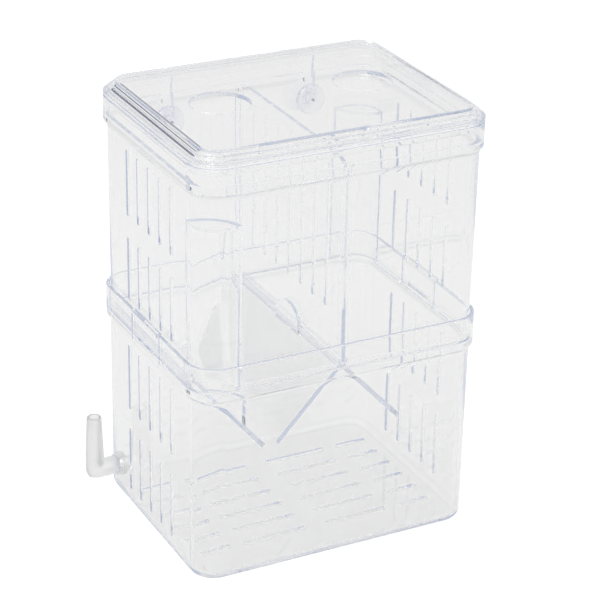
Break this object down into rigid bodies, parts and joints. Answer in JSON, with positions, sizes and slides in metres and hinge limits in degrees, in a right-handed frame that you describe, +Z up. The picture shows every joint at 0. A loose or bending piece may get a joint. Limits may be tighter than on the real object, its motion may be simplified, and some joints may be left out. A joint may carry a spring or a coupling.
{
  "type": "fish breeding box",
  "caption": "Two-storey clear fish breeding box: slotted tubs, lid with round holes, slotted divider, ridge and slope plates, air elbow and suction cups.",
  "frame": {"origin": "centre of the lower tub's foot, on the face it stands on", "axes": "+X along the long side towards the side without the elbow, +Y towards the back wall with the suction cups, +Z up"},
  "size_m": [0.1549, 0.1177, 0.2017],
  "materials": {
    "clear_plastic": "polished, see-through",
    "frosted_plastic": "frosted, translucent",
    "soft_rubber": "translucent, soft"
  },
  "bodies": {
    "lower_tub": {"lower_box": "clear_plastic"},
    "upper_tub": {"upper_box": "clear_plastic"},
    "lid_body": {"lid": "clear_plastic"},
    "divider_body": {"divider": "clear_plastic"},
    "ridge_body": {"ridge_plate": "clear_plastic"},
    "slope_body": {"left_slope_plate": "clear_plastic"},
    "elbow_body": {"air_elbow": "frosted_plastic", "air_port_ring": "frosted_plastic"},
    "cup_left_body": {"suction_cup_left": "soft_rubber"},
    "cup_right_body": {"suction_cup_right": "soft_rubber"}
  },
  "joints": [
    {"name": "upper_tub_lift", "type": "slide", "parent": "lower_tub", "child": "upper_tub", "axis": [0, 0, 1], "range_m": [0, 0.06]},
    {"name": "lid_lift", "type": "slide", "parent": "upper_tub", "child": "lid_body", "axis": [0, 0, 1], "range_m": [0, 0.03]},
    {"name": "ridge_lift", "type": "slide", "parent": "upper_tub", "child": "ridge_body", "axis": [0, 0, 1], "range_m": [0, 0.003]},
    {"name": "divider_lift", "type": "slide", "parent": "ridge_body", "child": "divider_body", "axis": [0, 0, 1], "range_m": [0, 0.005]},
    {"name": "slope_lift", "type": "slide", "parent": "upper_tub", "child": "slope_body", "axis": [0, 0, 1], "range_m": [0, 0.06]},
    {"name": "cup_left_slide", "type": "slide", "parent": "upper_tub", "child": "cup_left_body", "axis": [0, 0, 1], "range_m": [0, 0.008]},
    {"name": "cup_right_slide", "type": "slide", "parent": "upper_tub", "child": "cup_right_body", "axis": [0, 0, 1], "range_m": [0, 0.008]},
    {"name": "elbow_swivel", "type": "hinge", "parent": "lower_tub", "child": "elbow_body", "pos_m": [-0.0681, 0.0385, 0.014], "axis": [1, 0, 0], "range_deg": [-90, 90]}
  ]
}
